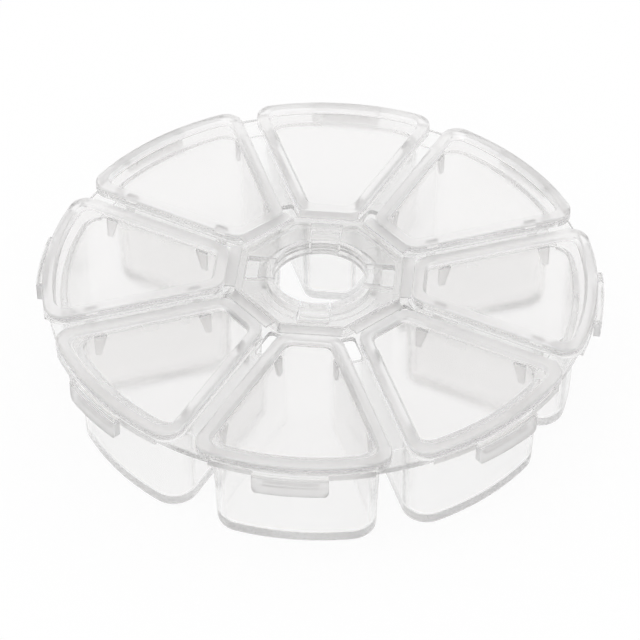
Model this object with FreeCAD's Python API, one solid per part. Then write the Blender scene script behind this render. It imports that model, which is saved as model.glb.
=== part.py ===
import FreeCAD, Part
import math
import os

# Round box with eight lidded compartments, in millimetres.
# The cups stand on z = 0, the axis of the box is Z, compartment 1 faces -Y
# and the others follow anticlockwise seen from above.

# Layout
compartments = 8
sector_angle = 360.0 / compartments
half_angle = math.radians(sector_angle / 2.0)
first_angle = -90.0

# Heights
cup_height = 18.55
deck_thickness = 1.0
rim_drop = 0.4
lid_seat_gap = 0.1
panel_thickness = 1.25
recess_depth = 0.9
lip_drop = 1.2

# Base deck
deck_radius = 50.1
rim_width = 4.6
core_inset = 0.45
vent_inset = 0.4
vent_length = 6.2
vent_half_width = 1.45
vent_corner = 0.8

# Cups hanging from the deck
cup_rim_width = 2.35
cup_half_gap = 2.05
cup_outer_corner = 4.6
cup_inner_corner = 3.0
cup_wall = 1.2
cup_draft_inset = 0.45
cup_foot_round = 0.7
cup_floor_round = 0.9

# Lids
lid_half_gap = 1.5
lid_outer_corner = 3.4
lid_inner_corner = 3.2
lid_overlap = 0.45
border_width = 2.0
border_slope = 0.4
border_round = 0.35
recess_outer_corner = 2.4
recess_inner_corner = 2.2
lip_clearance = 0.3
lip_wall = 0.6

# Corner ribs that locate a lid in the mouth of its cup
rib_clearance = 0.25
rib_thickness = 0.6
rib_root = 2.3
rib_tip = 1.1
rib_depth = 4.2
rib_tip_round = 0.25
rib_outer_inset = 4.25
rib_inner_inset = 5.35

# Snap tabs on the outer edge of the lids
snap_width = 13.4
snap_thickness = 1.2
snap_rise = 1.7
snap_drop = 3.0
snap_corner = 1.5
bead_clearance = 0.12
bead_height = 0.8
bead_bevel = 0.3
bead_below_rim = 0.45
bead_end_room = 1.9

# Hub ring, held in the middle of the deck by four hooks
hub_apothem = 15.1
hub_width = 6.45
hub_top_wall = 1.2
hub_side_wall = 1.2
collar_wall = 1.25
collar_clearance = 0.3
hook_count = 4
hook_width = 5.76
hook_reach = 1.0
hook_ledge = 0.5
hook_clearance = 0.05
hook_side_room = 0.5
slot_start_room = 0.4
slot_end_room = 0.2
slot_side_room = 0.12

# Living hinges between the hub ring and the lids
hinge_gap = 2.1
hinge_end_room = 0.65
hinge_thickness = 0.35

# Derived levels and radii
rim_bottom = cup_height
deck_bottom = rim_bottom + rim_drop
deck_top = deck_bottom + deck_thickness
lid_bottom = deck_top + lid_seat_gap
panel_top = lid_bottom + panel_thickness
lid_top = panel_top + recess_depth
lip_bottom = lid_bottom - lip_drop
rim_inner_radius = deck_radius - rim_width
lip_inner_radius = deck_radius + lip_clearance
lid_radius = lip_inner_radius + lip_wall
lid_inner_end = hub_apothem + hinge_gap
cup_radius = deck_radius - cup_rim_width
cup_inner_end = lid_inner_end + lid_overlap - cup_wall
core_radius = cup_inner_end - core_inset
vent_start = core_radius + vent_inset
hole_radius = hub_apothem - hub_width
collar_radius = hole_radius + collar_wall
seat_radius = collar_radius + collar_clearance
hook_radius = collar_radius + hook_reach
hook_top = deck_top - hook_ledge - hook_clearance
hinge_half = hub_apothem * math.tan(half_angle) - hinge_end_room


def point(along, across, level):
    return FreeCAD.Vector(along, across, level)


def polar(radius, angle, level):
    return point(radius * math.cos(angle), radius * math.sin(angle), level)


def side_across(along, half_gap):
    """Half width of a sector at a station along its centre line."""
    return along * math.tan(half_angle) - half_gap / math.cos(half_angle)


def sector_wire(radius, inner_end, half_gap, outer_corner, inner_corner, level):
    """Closed outline of a sector with rounded corners, centred on +X."""
    inner_along = inner_end + inner_corner
    inner_across = side_across(inner_along, half_gap + inner_corner)
    reach = radius - outer_corner
    outer_angle = half_angle - math.asin((half_gap + outer_corner) / reach)
    normal = half_angle + math.pi / 2.0
    inner_mid = (math.pi + normal) / 2.0
    outer_mid = (normal + outer_angle) / 2.0
    centre_in = point(inner_along, inner_across, level)
    centre_out = polar(reach, outer_angle, level)

    end_start = point(inner_end, inner_across, level)
    end_mid = centre_in + polar(inner_corner, inner_mid, 0.0)
    side_start = centre_in + polar(inner_corner, normal, 0.0)
    side_end = centre_out + polar(outer_corner, normal, 0.0)
    corner_mid = centre_out + polar(outer_corner, outer_mid, 0.0)
    rim_start = polar(radius, outer_angle, level)
    rim_mid = point(radius, 0.0, level)

    def mirror(p):
        return point(p.x, -p.y, p.z)

    edges = [
        Part.LineSegment(mirror(end_start), end_start).toShape(),
        Part.Arc(end_start, end_mid, side_start).toShape(),
        Part.LineSegment(side_start, side_end).toShape(),
        Part.Arc(side_end, corner_mid, rim_start).toShape(),
        Part.Arc(rim_start, rim_mid, mirror(rim_start)).toShape(),
        Part.Arc(mirror(rim_start), mirror(corner_mid), mirror(side_end)).toShape(),
        Part.LineSegment(mirror(side_end), mirror(side_start)).toShape(),
        Part.Arc(mirror(side_start), mirror(end_mid), mirror(end_start)).toShape(),
    ]
    return Part.Wire(edges)


def cup_wire(inset, level):
    """Outline of a cup drawn in by inset, narrowing with depth below the deck."""
    depth = (deck_top - level) / deck_top
    narrow = inset + cup_draft_inset * depth
    return sector_wire(
        cup_radius - narrow,
        cup_inner_end + narrow,
        cup_half_gap + narrow,
        cup_outer_corner - inset,
        cup_inner_corner - inset,
        level,
    )


def lid_wire(inset, outer_corner, inner_corner, level):
    """Outline of a lid drawn in by inset, with its own corners."""
    return sector_wire(
        lid_radius - inset,
        lid_inner_end + inset,
        lid_half_gap + inset,
        outer_corner,
        inner_corner,
        level,
    )


def prism(wire, height):
    return Part.Face(wire).extrude(point(0.0, 0.0, height))


def loft(low_wire, high_wire):
    return Part.makeLoft([low_wire, high_wire], True, True)


def box(along_0, along_1, across_0, across_1, level_0, level_1):
    corner = point(along_0, across_0, level_0)
    return Part.makeBox(along_1 - along_0, across_1 - across_0, level_1 - level_0, corner)


def tube(inner, outer, level_0, level_1):
    height = level_1 - level_0
    solid = Part.makeCylinder(outer, height, point(0.0, 0.0, level_0))
    return solid.cut(Part.makeCylinder(inner, height, point(0.0, 0.0, level_0)))


def turned(shape, degrees):
    copy = shape.copy()
    copy.rotate(point(0.0, 0.0, 0.0), point(0.0, 0.0, 1.0), degrees)
    return copy


def wedge(radius, level_0, level_1):
    """One compartment's share of a disc."""
    height = level_1 - level_0
    axis = point(0.0, 0.0, 1.0)
    disc = Part.makeCylinder(radius, height, point(0.0, 0.0, level_0), axis, sector_angle)
    return turned(disc, -sector_angle / 2.0)


def edges_at(shape, level):
    found = []
    for edge in shape.Edges:
        bounds = edge.BoundBox
        if abs(bounds.ZMin - level) < 1e-4 and abs(bounds.ZMax - level) < 1e-4:
            found.append(edge)
    return found


def make_cup():
    outer = loft(cup_wire(0.0, 0.0), cup_wire(0.0, cup_height))
    outer = outer.makeFillet(cup_foot_round, edges_at(outer, 0.0))
    inner = loft(cup_wire(cup_wall, cup_wall), cup_wire(cup_wall, cup_height))
    inner = inner.makeFillet(cup_floor_round, edges_at(inner, cup_wall))
    return outer.cut(inner)


def make_deck():
    """One compartment's share of the deck, with the collar round its mouth."""
    deck = wedge(deck_radius, deck_bottom, deck_top)
    rim = wedge(deck_radius, rim_bottom, deck_bottom)
    rim = rim.cut(Part.makeCylinder(rim_inner_radius, deck_top))
    collar = loft(cup_wire(0.0, rim_bottom), cup_wire(0.0, deck_bottom))
    deck = deck.fuse([rim, collar])
    mouth = loft(cup_wire(cup_wall, rim_bottom), cup_wire(cup_wall, deck_top))
    deck = deck.cut(mouth)
    deck = deck.cut(Part.makeCylinder(core_radius, deck_top))
    vent_end = vent_start + vent_length
    vent = box(vent_start, vent_end, -vent_half_width, vent_half_width, rim_bottom, deck_top)
    uprights = [edge for edge in vent.Edges if edge.BoundBox.ZLength > deck_thickness]
    vent = vent.makeFillet(vent_corner, uprights)
    for side in (-1.0, 1.0):
        deck = deck.cut(turned(vent, side * sector_angle / 2.0))
    return deck.removeSplitter()


def make_core():
    """Middle of the deck, with the stepped seat that the hooks grip."""
    core = tube(seat_radius, core_radius, deck_bottom, deck_top)
    relief_radius = hook_radius + hook_side_room
    relief_height = deck_thickness - hook_ledge
    relief = Part.makeCylinder(relief_radius, relief_height, point(0.0, 0.0, deck_bottom))
    return core.cut(relief)


def make_hub():
    corners = []
    corner_radius = hub_apothem / math.cos(half_angle)
    inner_radius = (hub_apothem - hub_side_wall) / math.cos(half_angle)
    for index in range(compartments):
        angle = half_angle * (2 * index + 1)
        corners.append(angle)
    outline = [polar(corner_radius, angle, deck_top) for angle in corners]
    cavity = [polar(inner_radius, angle, deck_top) for angle in corners]
    ring = prism(Part.makePolygon(outline + outline[:1]), lid_top - deck_top)
    hollow = prism(Part.makePolygon(cavity + cavity[:1]), lid_top - hub_top_wall - deck_top)
    ring = ring.cut(hollow)
    ring = ring.cut(Part.makeCylinder(collar_radius, lid_top))
    ring = ring.fuse(tube(hole_radius, collar_radius, deck_bottom, lid_top))
    half_hook = hook_width / 2.0
    reach = box(0.0, hook_radius, -half_hook, half_hook, deck_bottom, hook_top)
    hook = tube(collar_radius, hook_radius, deck_bottom, hook_top).common(reach)
    half_slot = half_hook + slot_side_room
    slot_start = hook_radius + slot_start_room
    slot_end = hub_apothem - hub_side_wall - slot_end_room
    slot = box(slot_start, slot_end, -half_slot, half_slot, deck_top, lid_top)
    for index in range(hook_count):
        angle = first_angle + index * 360.0 / hook_count
        ring = ring.fuse(turned(hook, angle))
        ring = ring.cut(turned(slot, angle))
    return ring.removeSplitter()


def make_hinge():
    level = lid_top - hinge_thickness
    return box(hub_apothem, lid_inner_end, -hinge_half, hinge_half, level, lid_top)


def make_rib(station, inward, side):
    """One locating rib beside the side wall of the cup's mouth.

    Its edge at the station is upright, and the other edge, on the inward
    side, slopes in to a narrow tip.
    """
    tip_level = lid_bottom - rib_depth
    profile = [
        point(station, 0.0, lid_bottom),
        point(station, 0.0, tip_level),
        point(station + inward * rib_tip, 0.0, tip_level),
        point(station + inward * rib_root, 0.0, lid_bottom),
    ]
    face = Part.Face(Part.makePolygon(profile + profile[:1]))
    rib = face.extrude(point(0.0, -rib_thickness * side, 0.0))
    tip = []
    for edge in edges_at(rib, tip_level):
        if edge.BoundBox.YLength > edge.BoundBox.XLength:
            tip.append(edge)
    rib = rib.makeFillet(rib_tip_round, tip)
    wall_gap = cup_half_gap + cup_wall + rib_clearance
    rib.translate(point(0.0, -wall_gap * side, 0.0))
    return turned(rib, side * sector_angle / 2.0)


def make_lid():
    border = prism(lid_wire(0.0, lid_outer_corner, lid_inner_corner, lid_bottom), lid_top - lid_bottom)
    floor = lid_wire(
        border_width + border_slope,
        recess_outer_corner - border_slope,
        recess_inner_corner - border_slope,
        panel_top,
    )
    mouth = lid_wire(border_width, recess_outer_corner, recess_inner_corner, lid_top)
    lid = border.cut(loft(floor, mouth))
    lid = lid.makeFillet(border_round, edges_at(lid, lid_top))
    lip = tube(lip_inner_radius, lid_radius, lip_bottom, lid_bottom)
    corner_angle = math.asin((lid_half_gap + lid_outer_corner) / (lid_radius - lid_outer_corner))
    half_lip = lid_radius * math.sin(half_angle - corner_angle)
    lip = lip.common(box(0.0, lid_radius, -half_lip, half_lip, lip_bottom, lid_bottom))
    pieces = [lip]
    for side in (-1.0, 1.0):
        pieces.append(make_rib(cup_radius - rib_outer_inset, -1.0, side))
        pieces.append(make_rib(cup_inner_end + rib_inner_inset, 1.0, side))
    return lid.fuse(pieces).removeSplitter()


def make_bead(half_width, top):
    """Catch bead along the inside of a snap tab, just below the deck's rim."""
    nose = deck_radius + bead_clearance
    low = top - bead_height
    root = lid_radius + snap_thickness / 2.0
    profile = [
        point(root, 0.0, low),
        point(nose + bead_bevel, 0.0, low),
        point(nose, 0.0, low + bead_bevel),
        point(nose, 0.0, top - bead_bevel),
        point(nose + bead_bevel, 0.0, top),
        point(root, 0.0, top),
    ]
    span = math.degrees(math.asin(half_width / root))
    face = Part.Face(Part.makePolygon(profile + profile[:1]))
    bead = face.revolve(point(0.0, 0.0, 0.0), point(0.0, 0.0, 1.0), 2.0 * span)
    return turned(bead, -span)


def make_snap():
    half = snap_width / 2.0
    top = lip_bottom + snap_rise
    bottom = lip_bottom - snap_drop
    outer = lid_radius + snap_thickness
    plate = box(lid_inner_end, outer, -half, half, bottom, top)
    corners = [edge for edge in edges_at(plate, bottom) if edge.BoundBox.XLength > snap_thickness]
    corners = [edge for edge in corners if edge.BoundBox.YLength < snap_thickness]
    plate = plate.makeFillet(snap_corner, corners)
    snap = tube(lid_radius, outer, bottom, top).common(plate)
    bead = make_bead(half - bead_end_room, rim_bottom - bead_below_rim)
    return snap.fuse(bead).removeSplitter()


os.makedirs("parts", exist_ok=True)
make_core().exportStep("parts/base_core.step")
make_hub().exportStep("parts/hub_ring.step")
sector_parts = {
    "deck": make_deck(),
    "cup": make_cup(),
    "hinge": make_hinge(),
    "lid": make_lid(),
    "snap": make_snap(),
}
for number in range(1, compartments + 1):
    turn = first_angle + (number - 1) * sector_angle
    for name, shape in sector_parts.items():
        turned(shape, turn).exportStep("parts/{}_{}.step".format(name, number))
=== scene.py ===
import math

import bmesh
import bpy
from mathutils import Matrix


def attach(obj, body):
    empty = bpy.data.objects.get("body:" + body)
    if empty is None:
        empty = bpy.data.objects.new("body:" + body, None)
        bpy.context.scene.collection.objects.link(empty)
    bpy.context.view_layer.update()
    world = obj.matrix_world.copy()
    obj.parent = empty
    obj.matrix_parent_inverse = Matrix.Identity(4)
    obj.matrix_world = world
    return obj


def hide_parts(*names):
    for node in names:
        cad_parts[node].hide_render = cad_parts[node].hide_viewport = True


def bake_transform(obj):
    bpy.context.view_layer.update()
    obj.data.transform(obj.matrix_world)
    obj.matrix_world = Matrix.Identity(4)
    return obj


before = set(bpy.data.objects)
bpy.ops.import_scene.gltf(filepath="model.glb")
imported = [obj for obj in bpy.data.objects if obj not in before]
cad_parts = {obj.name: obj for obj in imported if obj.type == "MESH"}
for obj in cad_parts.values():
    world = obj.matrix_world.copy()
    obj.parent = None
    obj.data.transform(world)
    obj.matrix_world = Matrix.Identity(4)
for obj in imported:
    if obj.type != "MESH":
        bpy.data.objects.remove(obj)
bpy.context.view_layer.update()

scene = bpy.context.scene
MM = 0.001
FULL_TURN = 2.0 * math.pi

# Layout, in millimetres and radians: the cups stand on z = 0, and lid 1 faces -Y.
COUNT = 8
HALF = math.pi / COUNT
FIRST = -math.pi / 2.0
FACING = [FIRST + 2.0 * HALF * k for k in range(COUNT)]

# Heights
RIM_BOTTOM = 18.55
RIM_DROP = 0.4
DECK_THICKNESS = 1.0
LID_SEAT_GAP = 0.1
PANEL_THICKNESS = 1.25
RECESS_DEPTH = 0.9
LIP_DROP = 1.2
DECK_BOTTOM = RIM_BOTTOM + RIM_DROP
DECK_TOP = DECK_BOTTOM + DECK_THICKNESS
LID_BOTTOM = DECK_TOP + LID_SEAT_GAP
PANEL_TOP = LID_BOTTOM + PANEL_THICKNESS
LID_TOP = PANEL_TOP + RECESS_DEPTH
LIP_BOTTOM = LID_BOTTOM - LIP_DROP

# Hub ring, clipped into the deck by hooks
HUB_APOTHEM = 15.1
HUB_WIDTH = 6.45
HUB_WALL = 1.2
COLLAR_WALL = 1.25
COLLAR_CLEARANCE = 0.3
HOOK_COUNT = 4
HOOK_WIDTH = 5.76
HOOK_REACH = 1.0
HOOK_LEDGE = 0.5
HOOK_CLEARANCE = 0.05
HOOK_SIDE_ROOM = 0.5
SLOT_START_ROOM = 0.4
SLOT_END_ROOM = 0.2
SLOT_SIDE_ROOM = 0.12
SLIT_WIDTH = 0.3
HOLE_RADIUS = HUB_APOTHEM - HUB_WIDTH
COLLAR_RADIUS = HOLE_RADIUS + COLLAR_WALL
COLLAR_TOP = LID_TOP - HUB_WALL / 2.0
ROOF_BOTTOM = LID_TOP - HUB_WALL
HOOK_RADIUS = COLLAR_RADIUS + HOOK_REACH
LEDGE = DECK_TOP - HOOK_LEDGE
HOOK_TOP = LEDGE - HOOK_CLEARANCE
SEAT_RADIUS = COLLAR_RADIUS + COLLAR_CLEARANCE
RELIEF_RADIUS = HOOK_RADIUS + HOOK_SIDE_ROOM
SLOT_START = HOOK_RADIUS + SLOT_START_ROOM
SLOT_END = HUB_APOTHEM - HUB_WALL - SLOT_END_ROOM
SLOT_WIDTH = HOOK_WIDTH + 2.0 * SLOT_SIDE_ROOM
HOOK_FACING = [FIRST + FULL_TURN / HOOK_COUNT * k for k in range(HOOK_COUNT)]

# Living hinges
HINGE_GAP = 2.1
HINGE_WIDTH = 11.2
HINGE_THICKNESS = 0.35
HINGE_NECK = 0.24
HINGE_STEPS = 16

# Deck
DECK_RADIUS = 50.1
RIM_WIDTH = 4.6
RIM_INNER = DECK_RADIUS - RIM_WIDTH

# Lids
LIP_CLEARANCE = 0.3
LIP_WALL = 0.6
LID_HALF_GAP = 1.5
LID_OUTER_CORNER = 3.4
LID_INNER_CORNER = 3.2
LID_OVERLAP = 0.45
BORDER = 2.0
SLOPE = 0.4
RECESS_OUTER_CORNER = 2.4
RECESS_INNER_CORNER = 2.2
LIP_INNER = DECK_RADIUS + LIP_CLEARANCE
LID_RADIUS = LIP_INNER + LIP_WALL
LID_INNER_END = HUB_APOTHEM + HINGE_GAP
LID_OUTLINE = (LID_RADIUS, LID_INNER_END, LID_HALF_GAP, LID_OUTER_CORNER, LID_INNER_CORNER)
RECESS_OUTLINE = (
    LID_RADIUS - BORDER,
    LID_INNER_END + BORDER,
    LID_HALF_GAP + BORDER,
    RECESS_OUTER_CORNER,
    RECESS_INNER_CORNER,
)

# Cups, and the vents between them
CUP_RIM_WIDTH = 2.35
CUP_HALF_GAP = 2.05
CUP_OUTER_CORNER = 4.6
CUP_INNER_CORNER = 3.0
CUP_WALL = 1.2
CUP_DRAFT = 0.45
FOOT_ROUND = 0.7
FLOOR_ROUND = 0.9
VENT_INSET = 0.05
VENT_LENGTH = 6.2
VENT_HALF_WIDTH = 1.45
VENT_CORNER = 0.8
CUP_RADIUS = DECK_RADIUS - CUP_RIM_WIDTH
CUP_INNER_END = LID_INNER_END + LID_OVERLAP - CUP_WALL
VENT_START = CUP_INNER_END - VENT_INSET

# Ribs that locate a lid in its cup. Each station has the direction in which its rib extends along the lid.
RIB_CLEARANCE = 0.25
RIB_THICKNESS = 0.6
RIB_ROOT = 2.3
RIB_TIP = 1.1
RIB_DEPTH = 4.2
RIB_OUTER_INSET = 4.25
RIB_INNER_INSET = 5.35
RIB_GAP = CUP_HALF_GAP + CUP_WALL + RIB_CLEARANCE
RIB_STATIONS = ((CUP_RADIUS - RIB_OUTER_INSET, -1.0), (CUP_INNER_END + RIB_INNER_INSET, 1.0))

# Snap tabs, with a catch bead inside
SNAP_WIDTH = 13.4
SNAP_THICKNESS = 1.2
SNAP_RISE = 1.7
SNAP_DROP = 3.0
SNAP_CORNER = 1.5
BEAD_CLEARANCE = 0.12
BEAD_HEIGHT = 0.8
BEAD_BEVEL = 0.3
BEAD_EASE_IN = 0.08
BEAD_EASE_UP = 0.1
BEAD_BELOW_RIM = 0.45
BEAD_END_ROOM = 1.9
SNAP_OUTER = LID_RADIUS + SNAP_THICKNESS
SNAP_TOP = LIP_BOTTOM + SNAP_RISE
SNAP_BOTTOM = LIP_BOTTOM - SNAP_DROP
BEAD_TOP = RIM_BOTTOM - BEAD_BELOW_RIM
BEAD_BOTTOM = BEAD_TOP - BEAD_HEIGHT
BEAD_NOSE = DECK_RADIUS + BEAD_CLEARANCE
BEAD_HALF = SNAP_WIDTH / 2.0 - BEAD_END_ROOM

# Softened edges and corners
DECK_EDGE = 0.3
MOUTH_EDGE = 0.25
HUB_EDGE = 0.3
HUB_CORNER = 0.6
CAVITY_CORNER = 0.5
HOLE_FLARE = 0.35
HOOK_NOSE = 0.15
SLOT_CORNER = 0.4
SLIT_CORNER = 0.1
LID_FOOT = 0.2
LID_CREST = 0.4
RECESS_CREST = 0.15
RECESS_ROOT = 0.3
LIP_NOSE = 0.2
RIB_NOSE = 0.2
RIB_CORNER = 0.09
TAB_NOSE = 0.3
TAB_INNER_NOSE = 0.2
HINGE_EDGE = 0.06

# How far shapes reach into or past each other where they are joined or cut
OVERLAP = 0.5
REACH = 1.0
RIB_SINK = 0.4
TAB_SINK = 0.3
TAB_CUT_NEAR = 40.0
TAB_CUT_FAR = 60.0
SLIT_OVERLAP = 0.2
SLIT_SINK = 0.4

# Gap that keeps neighbouring faces from lying in one plane
SKIN_GAP = 0.02

# Mesh detail and clean-up, with the merge distance in metres and the angle in degrees
CORNER_STEPS = 9
ARC_STEPS = 30
TURN_STEPS = 192
MERGE_DISTANCE = 0.000008
SHARP_ANGLE = 32.0
FACE_WEIGHT = 60


# Outlines

def arc(cx, cy, radius, a0, a1, steps):
    points = []
    for i in range(steps + 1):
        a = a0 + (a1 - a0) * i / steps
        points.append((cx + radius * math.cos(a), cy + radius * math.sin(a)))
    return points


def circle(radius):
    return arc(0.0, 0.0, radius, 0.0, FULL_TURN, TURN_STEPS)[:-1]


def outer_angle(radius, half_gap, corner):
    """Half the angle that the outer arc of a rounded sector spans."""
    return HALF - math.asin((half_gap + corner) / (radius - corner))


def sector(radius, inner_end, half_gap, outer_corner, inner_corner):
    """Outline of a rounded sector centred on +X, anticlockwise."""
    along = inner_end + inner_corner
    across = along * math.tan(HALF) - (half_gap + inner_corner) / math.cos(HALF)
    reach = radius - outer_corner
    outer = outer_angle(radius, half_gap, outer_corner)
    normal = HALF + math.pi / 2.0
    cx, cy = reach * math.cos(outer), reach * math.sin(outer)
    points = arc(0.0, 0.0, radius, -outer, outer, ARC_STEPS)
    points += arc(cx, cy, outer_corner, outer, normal, CORNER_STEPS)[1:]
    points += arc(along, across, inner_corner, normal, math.pi, CORNER_STEPS)
    points += arc(along, -across, inner_corner, -math.pi, -normal, CORNER_STEPS)
    points += arc(cx, -cy, outer_corner, -normal, -outer, CORNER_STEPS)[:-1]
    return points


def inset(sizes, amount):
    """Outline of a rounded sector drawn in by amount all round."""
    radius, inner_end, half_gap, outer_corner, inner_corner = sizes
    return sector(
        radius - amount,
        inner_end + amount,
        half_gap + amount,
        outer_corner - amount,
        inner_corner - amount,
    )


def cup_outline(amount, level):
    """Outline of a cup drawn in by amount. The cup narrows with depth below the deck."""
    narrow = CUP_DRAFT * (DECK_TOP - level) / DECK_TOP
    sizes = (
        CUP_RADIUS - narrow,
        CUP_INNER_END + narrow,
        CUP_HALF_GAP + narrow,
        CUP_OUTER_CORNER,
        CUP_INNER_CORNER,
    )
    return inset(sizes, amount)


def octagon(apothem, corner):
    """Octagon with slightly rounded corners, flats facing the lids."""
    points = []
    reach = (apothem - corner) / math.cos(HALF)
    for k in range(COUNT):
        middle = HALF * (2 * k + 1)
        cx, cy = reach * math.cos(middle), reach * math.sin(middle)
        points += arc(cx, cy, corner, middle - HALF, middle + HALF, steps=3)
    return points


def rounded_rectangle(x0, x1, y0, y1, corner):
    points = arc(x1 - corner, y1 - corner, corner, 0.0, math.pi / 2.0, steps=4)
    points += arc(x0 + corner, y1 - corner, corner, math.pi / 2.0, math.pi, steps=4)
    points += arc(x0 + corner, y0 + corner, corner, math.pi, 1.5 * math.pi, steps=4)
    points += arc(x1 - corner, y0 + corner, corner, 1.5 * math.pi, 2.0 * math.pi, steps=4)
    return points


def turned(points, angle):
    cos, sin = math.cos(angle), math.sin(angle)
    return [(x * cos - y * sin, x * sin + y * cos) for x, y in points]


def rounding(radius, steps=4):
    """Pairs (sideways, down) along a quarter round, from its top to its side."""
    pairs = []
    for i in range(steps + 1):
        a = math.pi / 2.0 * i / steps
        pairs.append((radius * (1.0 - math.sin(a)), radius * (1.0 - math.cos(a))))
    return pairs


# Mesh building

def new_object(name, bm):
    bmesh.ops.recalc_face_normals(bm, faces=bm.faces)
    mesh = bpy.data.meshes.new(name)
    bm.to_mesh(mesh)
    bm.free()
    obj = bpy.data.objects.new(name, mesh)
    scene.collection.objects.link(obj)
    return obj


def bridge(bm, low, high):
    """Band of faces between two closed rows of points."""
    size = len(low)
    for i in range(size):
        j = (i + 1) % size
        bm.faces.new((low[i], low[j], high[j], high[i]))


def shell(bm, rows):
    """Closed shell through rows of points, with a face at either end."""
    for low, high in zip(rows, rows[1:]):
        bridge(bm, low, high)
    bm.faces.new(list(reversed(rows[0])))
    bm.faces.new(rows[-1])


def skin(bm, rings):
    """Closed shell through a stack of (outline, level) with the same number of points."""
    rows = []
    for points, level in rings:
        rows.append([bm.verts.new((x * MM, y * MM, level * MM)) for x, y in points])
    shell(bm, rows)


def round_box(bm, x0, x1, y0, y1, z0, z1, corner, turn):
    """Upright box with rounded corners, turned about Z."""
    points = turned(rounded_rectangle(x0, x1, y0, y1, corner), turn)
    skin(bm, [(points, z0), (points, z1)])


def lathe(bm, profile, middle=0.0, span=FULL_TURN, steps=TURN_STEPS):
    """Turns a closed profile of (radius, level) points about Z."""
    whole = span == FULL_TURN
    count = steps if whole else steps + 1
    rows = []
    for i in range(count):
        a = middle - span / 2.0 + span * i / steps
        cos, sin = math.cos(a), math.sin(a)
        rows.append([bm.verts.new((r * cos * MM, r * sin * MM, z * MM)) for r, z in profile])
    for i in range(steps):
        bridge(bm, rows[i], rows[(i + 1) % count])
    if not whole:
        bm.faces.new(rows[0])
        bm.faces.new(list(reversed(rows[-1])))


def combine(target, tool, operation):
    """Joins the tool to the target or cuts it away, and removes the tool."""
    modifier = target.modifiers.new("combine", "BOOLEAN")
    modifier.operation = operation
    modifier.solver = "EXACT"
    modifier.object = tool
    graph = bpy.context.evaluated_depsgraph_get()
    mesh = bpy.data.meshes.new_from_object(target.evaluated_get(graph))
    target.modifiers.clear()
    old = target.data
    target.data = mesh
    bpy.data.meshes.remove(old)
    spent = tool.data
    bpy.data.objects.remove(tool)
    bpy.data.meshes.remove(spent)


def even_normals(obj):
    """Keeps flat faces evenly shaded up to their softened edges."""
    weighted = obj.modifiers.new("weighted", "WEIGHTED_NORMAL")
    weighted.keep_sharp = True
    weighted.weight = FACE_WEIGHT


def finish_mesh(obj, material):
    mesh = obj.data
    bm = bmesh.new()
    bm.from_mesh(mesh)
    bmesh.ops.remove_doubles(bm, verts=bm.verts, dist=MERGE_DISTANCE)
    bmesh.ops.dissolve_degenerate(bm, edges=bm.edges, dist=MERGE_DISTANCE)
    bmesh.ops.recalc_face_normals(bm, faces=bm.faces)
    bm.to_mesh(mesh)
    bm.free()
    for polygon in mesh.polygons:
        polygon.use_smooth = True
    mesh.set_sharp_from_angle(angle=math.radians(SHARP_ANGLE))
    mesh.materials.clear()
    mesh.materials.append(material)
    even_normals(obj)


# Heights, with amounts from 0 to 1, at which surfaces turn matt, or hang below a lid and get painted shade
LID_MATT = (
    (LID_BOTTOM - 0.25, 1.0),
    (LID_BOTTOM - 0.1, 0.0),
    (PANEL_TOP + 0.1, 0.0),
    (PANEL_TOP + 0.3, 1.0),
)
DECK_MATT = ((RIM_BOTTOM - 0.6, 0.0), (RIM_BOTTOM - 0.2, 1.0))
# Painted shade: the snap tab is greyed below the lid's lip
TAB_SHADE_HEIGHTS = ((LIP_BOTTOM - 0.3, 1.0), (LIP_BOTTOM, 0.0))

# Clear polypropylene. The flow marks shade the tint and vary the roughness between these shares.
PLASTIC_IOR = 1.3
FLOW_SHADE = 0.985
FLOW_SHADE_RANGE = (0.3, 0.7)
FLOW_GLOSS_RANGE = (0.25, 0.75)
GLOSS_SHARES = (0.7, 1.4)


# Materials

def grey_ramp(nodes, links, value, stops):
    """Turns a value into greys, from (position, level) stops."""
    ramp = nodes.new("ShaderNodeValToRGB")
    elements = ramp.color_ramp.elements
    while len(elements) < len(stops):
        elements.new(0.5)
    for element, (position, level) in zip(elements, stops):
        element.position = position
        element.color = (level, level, level, 1.0)
    links.new(value, ramp.inputs["Fac"])
    return ramp.outputs["Color"]


def map_range(nodes, links, value, start, end):
    """Maps a value from start and end to 0 and 1."""
    node = nodes.new("ShaderNodeMapRange")
    node.inputs["From Min"].default_value = start
    node.inputs["From Max"].default_value = end
    links.new(value, node.inputs["Value"])
    return node


def noise(nodes, links, place, scale, detail, distortion=0.0):
    texture = nodes.new("ShaderNodeTexNoise")
    texture.inputs["Scale"].default_value = scale
    texture.inputs["Detail"].default_value = detail
    texture.inputs["Distortion"].default_value = distortion
    links.new(place, texture.inputs["Vector"])
    return texture.outputs["Fac"]


def bump(nodes, links, height, strength, distance):
    node = nodes.new("ShaderNodeBump")
    node.inputs["Strength"].default_value = strength
    node.inputs["Distance"].default_value = distance
    links.new(height, node.inputs["Height"])
    return node


def height_ramp(nodes, links, place, stops):
    """Grey ramp over the height of the cover, from (height, amount) stops."""
    split = nodes.new("ShaderNodeSeparateXYZ")
    links.new(place, split.inputs[0])
    level = map_range(nodes, links, split.outputs["Z"], SNAP_BOTTOM * MM, LID_TOP * MM)
    shares = [((height - SNAP_BOTTOM) / (LID_TOP - SNAP_BOTTOM), amount) for height, amount in stops]
    return grey_ramp(nodes, links, level.outputs["Result"], shares)


def matt_zones(nodes, links, place, polished, matt, stops):
    """Adds roughness at the heights that the stops give."""
    total = nodes.new("ShaderNodeMath")
    total.operation = "MULTIPLY_ADD"
    total.inputs[1].default_value = matt
    links.new(height_ramp(nodes, links, place, stops), total.inputs[0])
    links.new(polished, total.inputs[2])
    return total.outputs[0]


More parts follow.
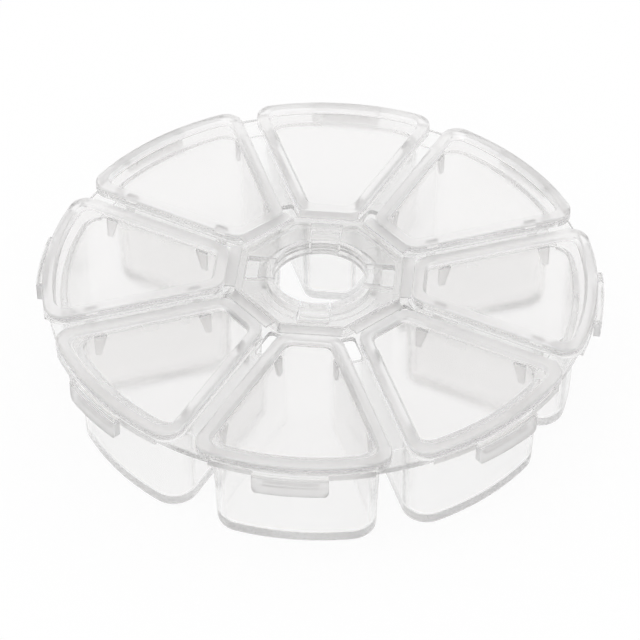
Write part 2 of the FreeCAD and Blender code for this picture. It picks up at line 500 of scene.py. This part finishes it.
def paint_tab_shade(nodes, links, place, colour, tab_shade):
    """Paints shade on the snap tab, greying it where it hangs below the outer edge of a lid."""
    split = nodes.new("ShaderNodeSeparateXYZ")
    links.new(place, split.inputs[0])
    outward = map_range(nodes, links, split.outputs["X"], RIM_INNER * MM, CUP_RADIUS * MM)
    share = nodes.new("ShaderNodeMath")
    share.operation = "MULTIPLY"
    links.new(outward.outputs["Result"], share.inputs[0])
    links.new(height_ramp(nodes, links, place, TAB_SHADE_HEIGHTS), share.inputs[1])
    mix = nodes.new("ShaderNodeMix")
    mix.data_type = "RGBA"
    mix.blend_type = "MULTIPLY"
    mix.inputs["B"].default_value = (tab_shade, tab_shade, tab_shade, 1.0)
    links.new(share.outputs[0], mix.inputs["Factor"])
    links.new(colour, mix.inputs["A"])
    return mix.outputs["Result"]


def flow_colour(nodes, links, flow, tint):
    """Tint that the flow marks darken a little."""
    ramp = nodes.new("ShaderNodeValToRGB")
    dark, light = ramp.color_ramp.elements
    dark.position, light.position = FLOW_SHADE_RANGE
    dark.color = tuple(c * FLOW_SHADE for c in tint) + (1.0,)
    light.color = tuple(tint) + (1.0,)
    links.new(flow, ramp.inputs["Fac"])
    return ramp.outputs["Color"]


def flow_gloss(nodes, links, flow, roughness):
    """Roughness that varies with the flow marks."""
    gloss = map_range(nodes, links, flow, *FLOW_GLOSS_RANGE)
    gloss.inputs["To Min"].default_value = roughness * GLOSS_SHARES[0]
    gloss.inputs["To Max"].default_value = roughness * GLOSS_SHARES[1]
    return gloss.outputs["Result"]


def moulded_surface(nodes, links, place):
    """Fine grain over broad, shallow waves."""
    grain = noise(nodes, links, place, scale=900.0, detail=4.0)
    waves = noise(nodes, links, place, scale=160.0, detail=1.0)
    fine = bump(nodes, links, grain, strength=0.04, distance=0.00002)
    broad = bump(nodes, links, waves, strength=0.05, distance=0.00006)
    links.new(fine.outputs["Normal"], broad.inputs["Normal"])
    return broad.outputs["Normal"]


def clear_plastic(name, tint, roughness, matt, stops, tab_shade=1.0):
    """Refracting plastic with flow marks, a moulded surface and matt zones, and painted shade on the snap
    tabs if asked.
    """
    material = bpy.data.materials.new(name)
    material.use_nodes = True
    nodes = material.node_tree.nodes
    links = material.node_tree.links
    shader = nodes["Principled BSDF"]
    shader.inputs["IOR"].default_value = PLASTIC_IOR
    shader.inputs["Transmission Weight"].default_value = 1.0
    shader.inputs["Specular IOR Level"].default_value = 0.5
    place = nodes.new("ShaderNodeTexCoord").outputs["Object"]
    flow = noise(nodes, links, place, scale=70.0, detail=3.0, distortion=0.6)

    colour = flow_colour(nodes, links, flow, tint)
    # Painted shade greys the snap tabs where they hang below the lid
    if tab_shade < 1.0:
        colour = paint_tab_shade(nodes, links, place, colour, tab_shade)
    gloss = matt_zones(nodes, links, place, flow_gloss(nodes, links, flow, roughness), matt, stops)
    links.new(colour, shader.inputs["Base Color"])
    links.new(gloss, shader.inputs["Roughness"])
    links.new(moulded_surface(nodes, links, place), shader.inputs["Normal"])
    return material


base_plastic = clear_plastic(
    "clear_base", tint=(0.995, 0.993, 0.991), roughness=0.15, matt=0.1, stops=DECK_MATT
)
# The cover's snap tabs get painted shade
cover_plastic = clear_plastic(
    "clear_cover", tint=(0.984, 0.978, 0.976), roughness=0.16, matt=0.2, stops=LID_MATT, tab_shade=0.92
)
hub_plastic = clear_plastic(
    "clear_hub", tint=(0.945, 0.942, 0.94), roughness=0.16, matt=0.06, stops=LID_MATT
)


# Base moulding: deck and cups in one piece

def make_deck():
    profile = [(SEAT_RADIUS, DECK_TOP)]
    profile += [(DECK_RADIUS - s, DECK_TOP - d) for s, d in rounding(DECK_EDGE)]
    profile += [(DECK_RADIUS - s, RIM_BOTTOM + d) for s, d in reversed(rounding(DECK_EDGE))]
    profile += [(RIM_INNER, RIM_BOTTOM), (RIM_INNER, DECK_BOTTOM), (RELIEF_RADIUS, DECK_BOTTOM)]
    profile += [(RELIEF_RADIUS, LEDGE), (SEAT_RADIUS, LEDGE)]
    bm = bmesh.new()
    lathe(bm, profile)
    return new_object("base_moulding", bm)


def cup_ring(amount, level, angle):
    return turned(cup_outline(amount, level), angle), level


def make_cups_outside():
    bm = bmesh.new()
    for angle in FACING:
        rings = [cup_ring(s, d, angle) for s, d in rounding(FOOT_ROUND, steps=6)]
        rings.append(cup_ring(0.0, DECK_BOTTOM + OVERLAP, angle))
        skin(bm, rings)
    return new_object("cups_outside", bm)


def make_cups_inside():
    """The space in the cups, and the vents in the deck between them."""
    bm = bmesh.new()
    for angle in FACING:
        rings = []
        for s, d in rounding(FLOOR_ROUND, steps=5):
            rings.append(cup_ring(CUP_WALL + s, CUP_WALL + d, angle))
        for s, d in reversed(rounding(MOUTH_EDGE, steps=3)):
            rings.append(cup_ring(CUP_WALL - s, DECK_TOP - d, angle))
        mouth = rings[-1][0]
        rings.append((mouth, DECK_TOP + REACH))
        skin(bm, rings)
        round_box(
            bm,
            VENT_START,
            VENT_START + VENT_LENGTH,
            -VENT_HALF_WIDTH,
            VENT_HALF_WIDTH,
            RIM_BOTTOM - OVERLAP,
            DECK_TOP + OVERLAP,
            VENT_CORNER,
            angle + HALF,
        )
    return new_object("cups_inside", bm)


def make_base():
    deck = make_deck()
    combine(deck, make_cups_outside(), "UNION")
    combine(deck, make_cups_inside(), "DIFFERENCE")
    finish_mesh(deck, base_plastic)
    return deck


base = make_base()
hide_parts("base_core", *["deck_%d" % n for n in range(1, 9)], *["cup_%d" % n for n in range(1, 9)])
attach(base, "base")


# Hub ring

def make_hub_block():
    rings = [(octagon(HUB_APOTHEM, HUB_CORNER), DECK_TOP + SKIN_GAP)]
    for s, d in reversed(rounding(HUB_EDGE)):
        rings.append((octagon(HUB_APOTHEM - s, HUB_CORNER), LID_TOP - d))
    bm = bmesh.new()
    skin(bm, rings)
    return new_object("hub_moulding", bm)


def make_collar():
    inner = HOLE_RADIUS - REACH
    profile = [
        (inner, DECK_BOTTOM),
        (COLLAR_RADIUS, DECK_BOTTOM),
        (COLLAR_RADIUS, COLLAR_TOP),
        (inner, COLLAR_TOP),
    ]
    bm = bmesh.new()
    lathe(bm, profile)
    return new_object("collar", bm)


def make_hooks():
    root = COLLAR_RADIUS - OVERLAP
    profile = [
        (root, DECK_BOTTOM),
        (HOOK_RADIUS - HOOK_NOSE, DECK_BOTTOM),
        (HOOK_RADIUS, DECK_BOTTOM + HOOK_NOSE),
        (HOOK_RADIUS, HOOK_TOP - HOOK_NOSE),
        (HOOK_RADIUS - HOOK_NOSE, HOOK_TOP),
        (root, HOOK_TOP),
    ]
    span = 2.0 * math.asin(HOOK_WIDTH / 2.0 / HOOK_RADIUS)
    bm = bmesh.new()
    for angle in HOOK_FACING:
        lathe(bm, profile, angle, span, steps=16)
    return new_object("hooks", bm)


def make_cavity():
    """The hollow under the hub's roof, round its collar."""
    outline = octagon(HUB_APOTHEM - HUB_WALL, CAVITY_CORNER)
    bm = bmesh.new()
    skin(bm, [(outline, DECK_TOP + SKIN_GAP - OVERLAP), (outline, ROOF_BOTTOM)])
    cavity = new_object("cavity", bm)
    core = circle(COLLAR_RADIUS + SKIN_GAP)
    bm = bmesh.new()
    skin(bm, [(core, DECK_BOTTOM - REACH), (core, LID_TOP + REACH)])
    combine(cavity, new_object("cavity_core", bm), "DIFFERENCE")
    return cavity


def make_openings():
    """The flared centre hole and the coring slots."""
    rings = [(circle(HOLE_RADIUS), DECK_BOTTOM - REACH)]
    for s, d in reversed(rounding(HOLE_FLARE)):
        rings.append((circle(HOLE_RADIUS + s), LID_TOP - d))
    mouth = rings[-1][0]
    rings.append((mouth, LID_TOP + REACH))
    bm = bmesh.new()
    skin(bm, rings)
    half = SLOT_WIDTH / 2.0
    low, high = ROOF_BOTTOM - OVERLAP, LID_TOP + OVERLAP
    for angle in HOOK_FACING:
        round_box(bm, SLOT_START, SLOT_END, -half, half, low, high, SLOT_CORNER, angle)
    return new_object("openings", bm)


def make_finger_slits():
    """Narrow cuts on both sides of each finger, from the centre hole to its slot."""
    start, end = HOLE_RADIUS - REACH, SLOT_START + SLIT_OVERLAP
    low, high = ROOF_BOTTOM - SLIT_SINK, LID_TOP + OVERLAP
    half = HOOK_WIDTH / 2.0
    bm = bmesh.new()
    for angle in HOOK_FACING:
        for side in (-1.0, 1.0):
            y0, y1 = sorted((side * half, side * (half - SLIT_WIDTH)))
            round_box(bm, start, end, y0, y1, low, high, SLIT_CORNER, angle)
    return new_object("finger_slits", bm)


def make_hub():
    hub = make_hub_block()
    combine(hub, make_collar(), "UNION")
    combine(hub, make_hooks(), "UNION")
    combine(hub, make_cavity(), "DIFFERENCE")
    combine(hub, make_openings(), "DIFFERENCE")
    combine(hub, make_finger_slits(), "DIFFERENCE")
    finish_mesh(hub, hub_plastic)
    return hub


hub = make_hub()
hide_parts("hub_ring")
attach(hub, "base")


# Lids with border, lip, ribs and snap tab

def make_panel():
    """Lid with its raised border, from its foot over the border and down to the panel."""
    rings = [(inset(LID_OUTLINE, s), LID_BOTTOM + d) for s, d in rounding(LID_FOOT, steps=3)]
    for s, d in reversed(rounding(LID_CREST, steps=5)):
        rings.append((inset(LID_OUTLINE, s), LID_TOP - d))
    for s, d in rounding(RECESS_CREST):
        rings.append((inset(RECESS_OUTLINE, -s), LID_TOP - d))
    for s, d in reversed(rounding(RECESS_ROOT)):
        rings.append((inset(RECESS_OUTLINE, SLOPE + s), PANEL_TOP + d))
    bm = bmesh.new()
    skin(bm, rings)
    return new_object("lid_1_moulding", bm)


def make_lip():
    profile = [
        (LIP_INNER, LID_BOTTOM + OVERLAP),
        (LIP_INNER, LIP_BOTTOM + LIP_NOSE),
        (LIP_INNER + LIP_NOSE, LIP_BOTTOM),
        (LID_RADIUS - LIP_NOSE, LIP_BOTTOM),
        (LID_RADIUS, LIP_BOTTOM + LIP_NOSE),
        (LID_RADIUS, LID_BOTTOM + OVERLAP),
    ]
    outer = outer_angle(LID_RADIUS, LID_HALF_GAP, LID_OUTER_CORNER)
    bm = bmesh.new()
    lathe(bm, profile, span=2.0 * outer, steps=36)
    return new_object("lip", bm)


def add_rib(bm, station, inward, side):
    """Locating rib: one edge upright at the station, the other sloping to a narrow tip."""
    y0, y1 = sorted((-side * RIB_GAP, -side * (RIB_GAP + RIB_THICKNESS)))
    tip = LID_BOTTOM - RIB_DEPTH
    levels = [(s, tip + d) for s, d in rounding(RIB_NOSE, steps=3)]
    levels.append((0.0, LID_BOTTOM + RIB_SINK))
    rings = []
    for amount, level in levels:
        length = RIB_TIP + (RIB_ROOT - RIB_TIP) * (level - tip) / RIB_DEPTH
        x0, x1 = sorted((station + inward * amount, station + inward * (length - amount)))
        points = rounded_rectangle(x0, x1, y0 + amount, y1 - amount, RIB_CORNER)
        rings.append((turned(points, side * HALF), level))
    skin(bm, rings)


def make_ribs():
    bm = bmesh.new()
    for side in (-1.0, 1.0):
        for station, inward in RIB_STATIONS:
            add_rib(bm, station, inward, side)
    return new_object("ribs", bm)


def make_tab():
    root = LID_RADIUS - TAB_SINK
    profile = [
        (root, SNAP_TOP),
        (SNAP_OUTER - TAB_NOSE, SNAP_TOP),
        (SNAP_OUTER, SNAP_TOP - TAB_NOSE),
        (SNAP_OUTER, SNAP_BOTTOM + TAB_NOSE),
        (SNAP_OUTER - TAB_NOSE, SNAP_BOTTOM),
        (LID_RADIUS + TAB_INNER_NOSE, SNAP_BOTTOM),
        (LID_RADIUS, SNAP_BOTTOM + TAB_INNER_NOSE),
        (LID_RADIUS, LIP_BOTTOM),
        (root, LIP_BOTTOM),
    ]
    bm = bmesh.new()
    lathe(bm, profile, span=2.0 * math.asin(SNAP_WIDTH / 2.0 / SNAP_OUTER), steps=28)
    return new_object("tab", bm)


def make_tab_outline():
    """Block along X whose section has the tab's width and its rounded lower corners."""
    half = SNAP_WIDTH / 2.0
    points = rounded_rectangle(-half, half, SNAP_BOTTOM, SNAP_TOP + 2.0 * SNAP_CORNER, SNAP_CORNER)
    bm = bmesh.new()
    near = [bm.verts.new((TAB_CUT_NEAR * MM, y * MM, z * MM)) for y, z in points]
    far = [bm.verts.new((TAB_CUT_FAR * MM, y * MM, z * MM)) for y, z in points]
    bridge(bm, near, far)
    bm.faces.new(near)
    bm.faces.new(list(reversed(far)))
    return new_object("tab_outline", bm)


def make_bead():
    root = LID_RADIUS + TAB_SINK
    profile = [
        (root, BEAD_BOTTOM),
        (BEAD_NOSE + BEAD_BEVEL, BEAD_BOTTOM),
        (BEAD_NOSE + BEAD_EASE_IN, BEAD_BOTTOM + BEAD_EASE_UP),
        (BEAD_NOSE, BEAD_BOTTOM + BEAD_BEVEL),
        (BEAD_NOSE, BEAD_TOP - BEAD_BEVEL),
        (BEAD_NOSE + BEAD_EASE_IN, BEAD_TOP - BEAD_EASE_UP),
        (BEAD_NOSE + BEAD_BEVEL, BEAD_TOP),
        (root, BEAD_TOP),
    ]
    bm = bmesh.new()
    lathe(bm, profile, span=2.0 * math.asin(BEAD_HALF / LID_RADIUS), steps=20)
    return new_object("bead", bm)


def make_snap():
    """Snap tab with a catch bead on the inside."""
    tab = make_tab()
    combine(tab, make_tab_outline(), "INTERSECT")
    combine(tab, make_bead(), "UNION")
    return tab


def make_lid():
    lid = make_panel()
    combine(lid, make_lip(), "UNION")
    combine(lid, make_ribs(), "UNION")
    combine(lid, make_snap(), "UNION")
    finish_mesh(lid, cover_plastic)
    return lid


first_lid = make_lid()
for k in range(COUNT):
    number = k + 1
    if k == 0:
        lid = first_lid
    else:
        lid = bpy.data.objects.new("lid_%d_moulding" % number, first_lid.data)
        scene.collection.objects.link(lid)
        even_normals(lid)
    lid.matrix_world = Matrix.Rotation(FACING[k], 4, "Z")
    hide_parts("lid_%d" % number, "snap_%d" % number)
    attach(lid, "cover_%d" % number)


# Living hinges, thin in the middle

def hinge_section(low, high):
    """Section across a hinge strip, with softened edges."""
    half, edge = HINGE_WIDTH / 2.0, HINGE_EDGE
    return [
        (-half, low + edge),
        (-half + edge, low),
        (half - edge, low),
        (half, low + edge),
        (half, high - edge),
        (half - edge, high),
        (-half + edge, high),
        (-half, high - edge),
    ]


def make_strip(number, angle):
    start, end = HUB_APOTHEM + SKIN_GAP, LID_INNER_END - SKIN_GAP
    top = LID_TOP - SKIN_GAP
    bm = bmesh.new()
    rows = []
    for i in range(HINGE_STEPS + 1):
        t = i / HINGE_STEPS
        along = start + (end - start) * t
        dip = (HINGE_THICKNESS - HINGE_NECK) * math.sin(math.pi * t) ** 2
        section = hinge_section(top - HINGE_THICKNESS + dip, top)
        rows.append([bm.verts.new((along * MM, y * MM, z * MM)) for y, z in section])
    shell(bm, rows)
    strip = new_object("hinge_%d_strip" % number, bm)
    strip.data.transform(Matrix.Rotation(angle, 4, "Z"))
    finish_mesh(strip, cover_plastic)
    return strip


def make_hinge(number):
    angle = FACING[number - 1]
    strip = make_strip(number, angle)
    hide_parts("hinge_%d" % number)
    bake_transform(strip)


for number in range(1, COUNT + 1):
    make_hinge(number)


# Floor and world, in metres. The floor shows mostly as plain white and keeps a faint shadow.
FLOOR_SIZE = 6.0
FLOOR_DROP = 0.0002
FLOOR_GREY = 0.9
FLOOR_GLOW = 0.93
SKY_STOPS = ((0.0, 1.0), (0.1, 0.97), (0.3, 0.95), (0.7, 0.95), (1.0, 0.96))

# Camera, in degrees, millimetres and pixels of the photograph's frame
CAMERA_AZIMUTH = 5.7
CAMERA_ELEVATION = 41.22
CAMERA_DISTANCE = 508.8
CAMERA_LENS = 155.2
CLIP_START = 10.0
SENSOR_WIDTH = 36.0
AIM_HEIGHT = 19.35
FRAME_PIXELS = 640
AIM_RISE_PIXELS = 37.2


# Stage

def larger(nodes, links, one, other):
    node = nodes.new("ShaderNodeMath")
    node.operation = "MAXIMUM"
    links.new(one, node.inputs[0])
    links.new(other, node.inputs[1])
    return node.outputs[0]


def floor_white():
    material = bpy.data.materials.new("floor_white")
    material.use_nodes = True
    nodes = material.node_tree.nodes
    links = material.node_tree.links
    shader = nodes["Principled BSDF"]
    shader.inputs["Base Color"].default_value = (FLOOR_GREY, FLOOR_GREY, FLOOR_GREY, 1.0)
    shader.inputs["Roughness"].default_value = 0.9
    shader.inputs["Specular IOR Level"].default_value = 0.0
    glow = nodes.new("ShaderNodeEmission")
    glow.inputs["Color"].default_value = (1.0, 1.0, 1.0, 1.0)
    glow.inputs["Strength"].default_value = 1.0
    path = nodes.new("ShaderNodeLightPath").outputs
    seen = larger(nodes, links, path["Is Camera Ray"], path["Is Glossy Ray"])
    seen = larger(nodes, links, seen, path["Is Transmission Ray"])
    share = nodes.new("ShaderNodeMath")
    share.operation = "MULTIPLY"
    share.inputs[1].default_value = FLOOR_GLOW
    links.new(seen, share.inputs[0])
    mix = nodes.new("ShaderNodeMixShader")
    links.new(share.outputs[0], mix.inputs[0])
    links.new(shader.outputs[0], mix.inputs[1])
    links.new(glow.outputs[0], mix.inputs[2])
    links.new(mix.outputs[0], nodes["Material Output"].inputs["Surface"])
    return material


def make_floor():
    bm = bmesh.new()
    bmesh.ops.create_grid(bm, x_segments=1, y_segments=1, size=FLOOR_SIZE)
    floor = new_object("floor", bm)
    floor.location.z = -FLOOR_DROP
    floor.data.materials.append(floor_white())


def make_world():
    world = bpy.data.worlds.new("studio")
    scene.world = world
    world.use_nodes = True
    nodes = world.node_tree.nodes
    links = world.node_tree.links
    background = nodes["Background"]
    place = nodes.new("ShaderNodeTexCoord")
    split = nodes.new("ShaderNodeSeparateXYZ")
    links.new(place.outputs["Generated"], split.inputs[0])
    sky = grey_ramp(nodes, links, split.outputs["Z"], SKY_STOPS)
    links.new(sky, background.inputs["Color"])
    background.inputs["Strength"].default_value = 1.0


def make_lamp(name, position, size, energy):
    """Round soft lamp that points at the middle of the floor."""
    data = bpy.data.lights.new(name, "AREA")
    data.shape = "DISK"
    data.size = size
    data.energy = energy
    lamp = bpy.data.objects.new(name, data)
    scene.collection.objects.link(lamp)
    lamp.location = position
    direction = -lamp.location.normalized()
    lamp.rotation_euler = direction.to_track_quat("-Z", "Y").to_euler()


def make_camera():
    """Camera that stands off from a point on the axis and is tipped down to show it above the middle."""
    azimuth, elevation = math.radians(CAMERA_AZIMUTH), math.radians(CAMERA_ELEVATION)
    focal_pixels = CAMERA_LENS / SENSOR_WIDTH * FRAME_PIXELS
    tip = math.atan(AIM_RISE_PIXELS / focal_pixels)
    level = math.cos(elevation)
    back = (math.sin(azimuth) * level, -math.cos(azimuth) * level, math.sin(elevation))
    data = bpy.data.cameras.new("camera")
    data.sensor_width = SENSOR_WIDTH
    data.lens = CAMERA_LENS
    data.clip_start = CLIP_START * MM
    camera = bpy.data.objects.new("camera", data)
    scene.collection.objects.link(camera)
    camera.location = [b * CAMERA_DISTANCE * MM for b in back]
    camera.location.z += AIM_HEIGHT * MM
    camera.rotation_euler = (math.pi / 2.0 - elevation - tip, 0.0, azimuth)
    scene.camera = camera


make_floor()
make_world()
make_lamp("key", position=(-0.35, -0.25, 0.75), size=0.5, energy=1.0)
make_lamp("fill", position=(0.5, 0.3, 0.6), size=0.5, energy=0.5)
make_camera()

# Light has to pass through many walls of clear plastic.
scene.cycles.max_bounces = 64
scene.cycles.transmission_bounces = 48
scene.cycles.glossy_bounces = 48
scene.cycles.diffuse_bounces = 16
scene.view_settings.view_transform = "Standard"
